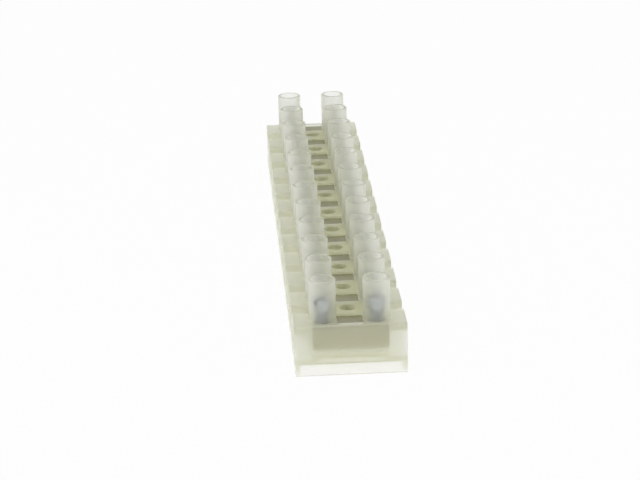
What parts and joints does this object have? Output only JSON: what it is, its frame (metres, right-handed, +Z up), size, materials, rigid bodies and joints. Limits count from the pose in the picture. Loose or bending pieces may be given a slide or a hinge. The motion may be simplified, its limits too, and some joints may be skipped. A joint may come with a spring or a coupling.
{
  "type": "terminal strip",
  "caption": "Translucent moulded screw terminal strip: a row of poles, each with a brass clamp tube across it under two screw towers, and a fixing hole in every web.",
  "frame": {"origin": "middle of the base, on the plane that the strip rests on", "axes": "+Y along the row of poles, +X across it along the clamp tubes, +Z up out of the towers"},
  "size_m": [0.0186, 0.1166, 0.016],
  "materials": {
    "housing_plastic": "natural translucent moulding, semi-gloss",
    "tube_brass": "drawn and cut, dull and tarnished",
    "screw_zinc": "bluish zinc plating"
  },
  "bodies": {
    "strip": {"housing": "housing_plastic", "clamp_tube_01": "tube_brass", "clamp_tube_02": "tube_brass", "clamp_tube_03": "tube_brass", "clamp_tube_04": "tube_brass", "clamp_tube_05": "tube_brass", "clamp_tube_06": "tube_brass", "clamp_tube_07": "tube_brass", "clamp_tube_08": "tube_brass", "clamp_tube_09": "tube_brass", "clamp_tube_10": "tube_brass", "clamp_tube_11": "tube_brass", "clamp_tube_12": "tube_brass"},
    "screw_left_01": {"screw_left_01": "screw_zinc"},
    "screw_left_02": {"screw_left_02": "screw_zinc"},
    "screw_left_03": {"screw_left_03": "screw_zinc"},
    "screw_left_04": {"screw_left_04": "screw_zinc"},
    "screw_left_05": {"screw_left_05": "screw_zinc"},
    "screw_left_06": {"screw_left_06": "screw_zinc"},
    "screw_left_07": {"screw_left_07": "screw_zinc"},
    "screw_left_08": {"screw_left_08": "screw_zinc"},
    "screw_left_09": {"screw_left_09": "screw_zinc"},
    "screw_left_10": {"screw_left_10": "screw_zinc"},
    "screw_left_11": {"screw_left_11": "screw_zinc"},
    "screw_left_12": {"screw_left_12": "screw_zinc"},
    "screw_right_01": {"screw_right_01": "screw_zinc"},
    "screw_right_02": {"screw_right_02": "screw_zinc"},
    "screw_right_03": {"screw_right_03": "screw_zinc"},
    "screw_right_04": {"screw_right_04": "screw_zinc"},
    "screw_right_05": {"screw_right_05": "screw_zinc"},
    "screw_right_06": {"screw_right_06": "screw_zinc"},
    "screw_right_07": {"screw_right_07": "screw_zinc"},
    "screw_right_08": {"screw_right_08": "screw_zinc"},
    "screw_right_09": {"screw_right_09": "screw_zinc"},
    "screw_right_10": {"screw_right_10": "screw_zinc"},
    "screw_right_11": {"screw_right_11": "screw_zinc"},
    "screw_right_12": {"screw_right_12": "screw_zinc"}
  },
  "joints": [
    {"name": "screw_left_01_travel", "type": "slide", "parent": "strip", "child": "screw_left_01", "axis": [0, 0, -1], "range_m": [0, 0.0021]},
    {"name": "screw_left_02_travel", "type": "slide", "parent": "strip", "child": "screw_left_02", "axis": [0, 0, -1], "range_m": [0, 0.0021]},
    {"name": "screw_left_03_travel", "type": "slide", "parent": "strip", "child": "screw_left_03", "axis": [0, 0, -1], "range_m": [0, 0.0021]},
    {"name": "screw_left_04_travel", "type": "slide", "parent": "strip", "child": "screw_left_04", "axis": [0, 0, -1], "range_m": [0, 0.0021]},
    {"name": "screw_left_05_travel", "type": "slide", "parent": "strip", "child": "screw_left_05", "axis": [0, 0, -1], "range_m": [0, 0.0021]},
    {"name": "screw_left_06_travel", "type": "slide", "parent": "strip", "child": "screw_left_06", "axis": [0, 0, -1], "range_m": [0, 0.0021]},
    {"name": "screw_left_07_travel", "type": "slide", "parent": "strip", "child": "screw_left_07", "axis": [0, 0, -1], "range_m": [0, 0.0021]},
    {"name": "screw_left_08_travel", "type": "slide", "parent": "strip", "child": "screw_left_08", "axis": [0, 0, -1], "range_m": [0, 0.0021]},
    {"name": "screw_left_09_travel", "type": "slide", "parent": "strip", "child": "screw_left_09", "axis": [0, 0, -1], "range_m": [0, 0.0021]},
    {"name": "screw_left_10_travel", "type": "slide", "parent": "strip", "child": "screw_left_10", "axis": [0, 0, -1], "range_m": [0, 0.0021]},
    {"name": "screw_left_11_travel", "type": "slide", "parent": "strip", "child": "screw_left_11", "axis": [0, 0, -1], "range_m": [0, 0.0021]},
    {"name": "screw_left_12_travel", "type": "slide", "parent": "strip", "child": "screw_left_12", "axis": [0, 0, -1], "range_m": [0, 0.0021]},
    {"name": "screw_right_01_travel", "type": "slide", "parent": "strip", "child": "screw_right_01", "axis": [0, 0, -1], "range_m": [0, 0.0021]},
    {"name": "screw_right_02_travel", "type": "slide", "parent": "strip", "child": "screw_right_02", "axis": [0, 0, -1], "range_m": [0, 0.0021]},
    {"name": "screw_right_03_travel", "type": "slide", "parent": "strip", "child": "screw_right_03", "axis": [0, 0, -1], "range_m": [0, 0.0021]},
    {"name": "screw_right_04_travel", "type": "slide", "parent": "strip", "child": "screw_right_04", "axis": [0, 0, -1], "range_m": [0, 0.0021]},
    {"name": "screw_right_05_travel", "type": "slide", "parent": "strip", "child": "screw_right_05", "axis": [0, 0, -1], "range_m": [0, 0.0021]},
    {"name": "screw_right_06_travel", "type": "slide", "parent": "strip", "child": "screw_right_06", "axis": [0, 0, -1], "range_m": [0, 0.0021]},
    {"name": "screw_right_07_travel", "type": "slide", "parent": "strip", "child": "screw_right_07", "axis": [0, 0, -1], "range_m": [0, 0.0021]},
    {"name": "screw_right_08_travel", "type": "slide", "parent": "strip", "child": "screw_right_08", "axis": [0, 0, -1], "range_m": [0, 0.0021]},
    {"name": "screw_right_09_travel", "type": "slide", "parent": "strip", "child": "screw_right_09", "axis": [0, 0, -1], "range_m": [0, 0.0021]},
    {"name": "screw_right_10_travel", "type": "slide", "parent": "strip", "child": "screw_right_10", "axis": [0, 0, -1], "range_m": [0, 0.0021]},
    {"name": "screw_right_11_travel", "type": "slide", "parent": "strip", "child": "screw_right_11", "axis": [0, 0, -1], "range_m": [0, 0.0021]},
    {"name": "screw_right_12_travel", "type": "slide", "parent": "strip", "child": "screw_right_12", "axis": [0, 0, -1], "range_m": [0, 0.0021]}
  ]
}
